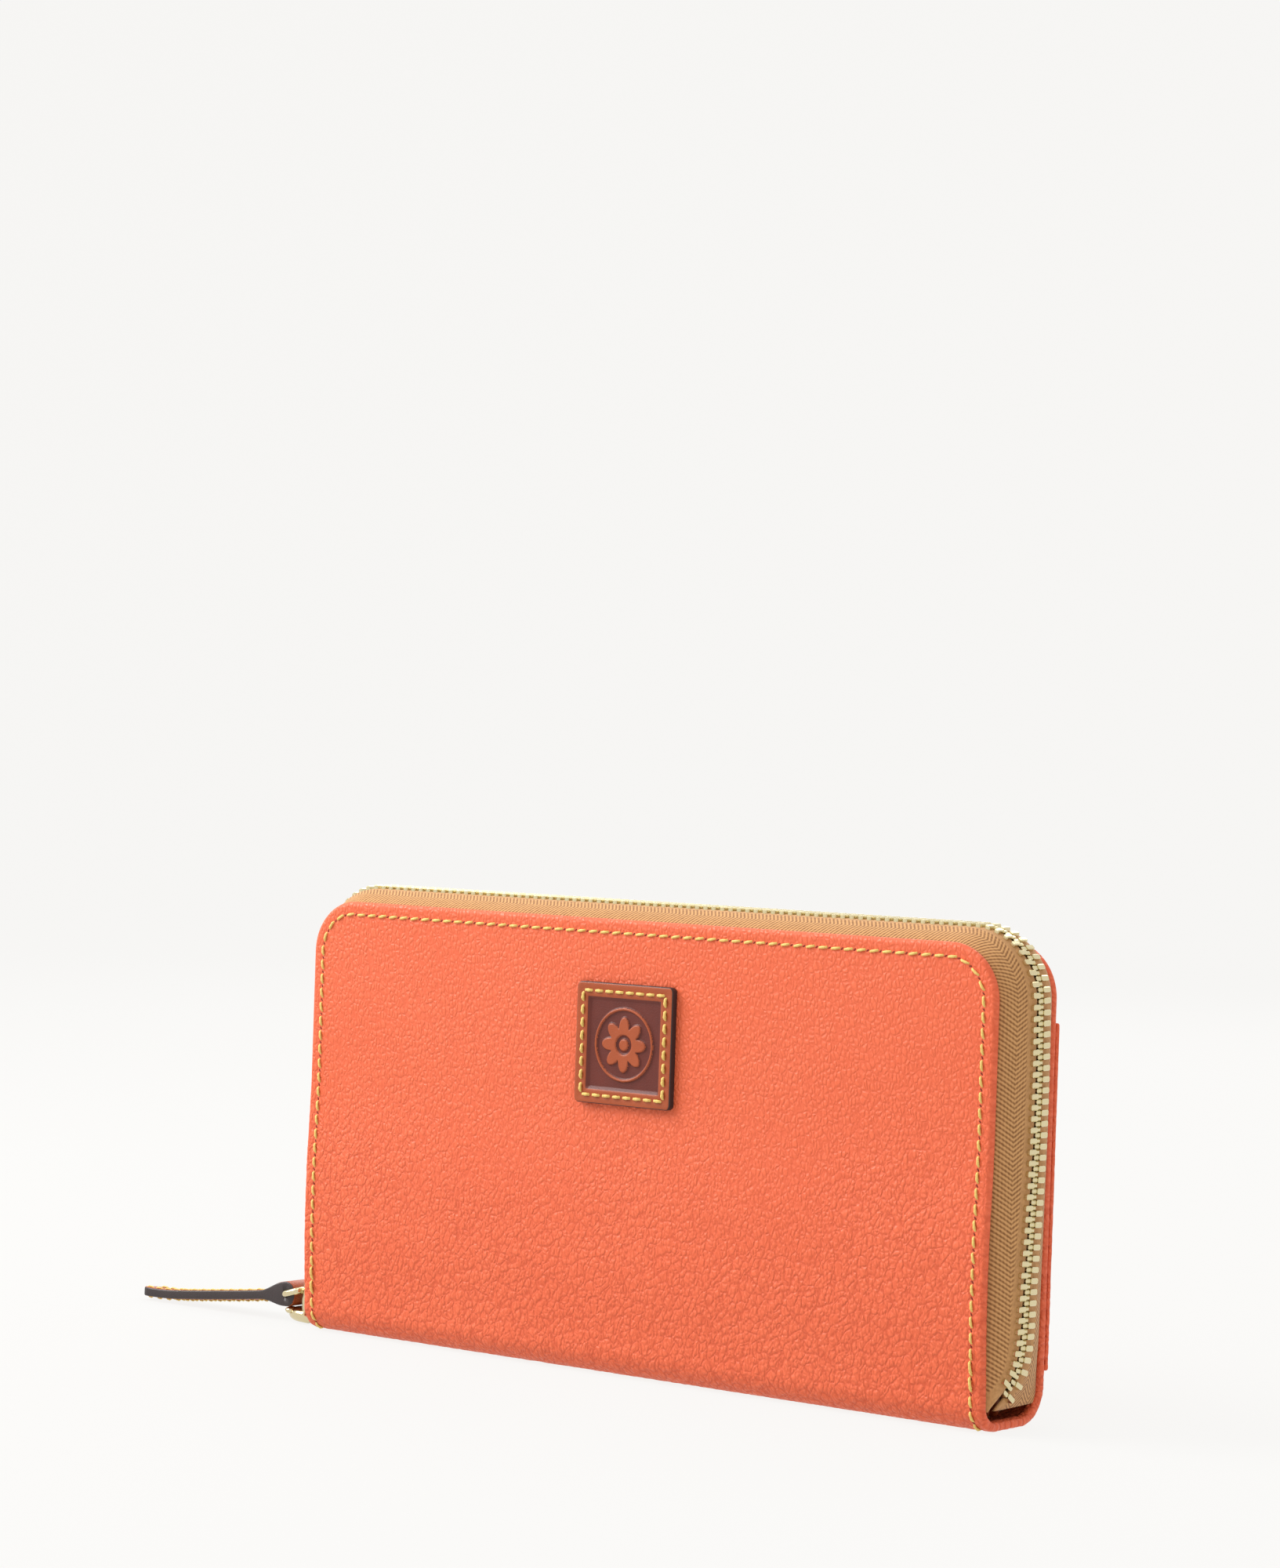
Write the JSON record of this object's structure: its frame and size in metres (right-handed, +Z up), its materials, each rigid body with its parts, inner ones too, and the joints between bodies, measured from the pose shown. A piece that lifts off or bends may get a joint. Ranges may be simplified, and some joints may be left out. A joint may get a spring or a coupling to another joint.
{
  "type": "zip around wallet",
  "caption": "Long zip around wallet in pebbled leather, with two hinged covers, card slots, a zipped coin pocket as divider and a leather zip pull.",
  "frame": {"origin": "on the spine's flat base, midway along it and midway between the covers' outer faces", "axes": "+X along the wallet away from the zip pull, +Y from the front cover to the rear cover, +Z up"},
  "size_m": [0.2559, 0.0267, 0.1055],
  "materials": {
    "coral_leather": "pebbled, semi-matt",
    "inner_leather": "smooth, matt",
    "russet_leather": "vegetable tanned, satin",
    "pressed_leather": "pressed, dark",
    "board": "bonded fibre board",
    "lining": "woven cotton",
    "zip_tape": "herringbone woven",
    "pale_gold_metal": "polished pale gold"
  },
  "bodies": {
    "spine": {"spine_leather": "coral_leather", "spine_lining": "lining", "gusset_front_left": "inner_leather", "gusset_front_right": "inner_leather", "gusset_rear_left": "inner_leather", "gusset_rear_right": "inner_leather", "coin_front_panel": "inner_leather", "coin_rear_panel": "inner_leather", "coin_front_tape": "zip_tape", "coin_rear_tape": "zip_tape", "coin_front_teeth": "pale_gold_metal", "coin_rear_teeth": "pale_gold_metal", "coin_zip_stops": "pale_gold_metal"},
    "front_cover": {"front_cover_leather": "coral_leather", "front_cover_board": "board", "front_cover_lining": "lining", "badge_patch": "russet_leather", "badge_emblem": "pressed_leather", "front_card_backing": "inner_leather", "front_card_slot_1": "inner_leather", "front_card_slot_2": "inner_leather", "front_card_slot_3": "inner_leather", "front_card_slot_4": "inner_leather", "front_zip_tape": "zip_tape", "front_zip_teeth": "pale_gold_metal"},
    "rear_cover": {"rear_cover_leather": "coral_leather", "rear_cover_board": "board", "rear_cover_lining": "lining", "rear_pocket": "coral_leather", "rear_card_backing": "inner_leather", "rear_card_slot_1": "inner_leather", "rear_card_slot_2": "inner_leather", "rear_card_slot_3": "inner_leather", "rear_card_slot_4": "inner_leather", "rear_zip_tape": "zip_tape", "rear_zip_teeth": "pale_gold_metal"},
    "zip_slider": {"zip_slider": "pale_gold_metal", "slider_bail": "pale_gold_metal"},
    "pull_loop": {"pull_loop": "pale_gold_metal"},
    "pull_tab": {"pull_tab": "russet_leather"},
    "coin_slider": {"coin_slider": "pale_gold_metal"},
    "coin_pull": {"coin_pull": "pale_gold_metal"}
  },
  "joints": [
    {"name": "front_cover_hinge", "type": "hinge", "parent": "spine", "child": "front_cover", "pos_m": [0, -0.012, 0.00915], "axis": [1, 0, 0], "range_deg": [0, 35], "deforming": ["gusset_front_left", "gusset_front_right", "front_zip_teeth"]},
    {"name": "rear_cover_hinge", "type": "hinge", "parent": "spine", "child": "rear_cover", "pos_m": [0, 0.012, 0.00915], "axis": [-1, 0, 0], "range_deg": [0, 35], "deforming": ["gusset_rear_left", "gusset_rear_right", "rear_zip_teeth"]},
    {"name": "zip_slide", "type": "slide", "parent": "spine", "child": "zip_slider", "axis": [0, 0.0245, 0.9997], "range_m": [0, 0.065]},
    {"name": "loop_swing", "type": "hinge", "parent": "zip_slider", "child": "pull_loop", "pos_m": [-0.10235, -0.002, 0.008], "axis": [0, 1, 0], "range_deg": [0, 70]},
    {"name": "tab_swing", "type": "hinge", "parent": "pull_loop", "child": "pull_tab", "pos_m": [-0.10716, -0.002, 0.00662], "axis": [0, 1, 0], "range_deg": [0, 60]},
    {"name": "coin_zip_slide", "type": "slide", "parent": "spine", "child": "coin_slider", "axis": [1, 0, 0], "range_m": [0, 0.15], "deforming": ["coin_front_teeth", "coin_rear_teeth"]},
    {"name": "coin_pull_swing", "type": "hinge", "parent": "coin_slider", "child": "coin_pull", "pos_m": [-0.0775, 0, 0.091], "axis": [0, -1, 0], "range_deg": [0, 35]}
  ]
}
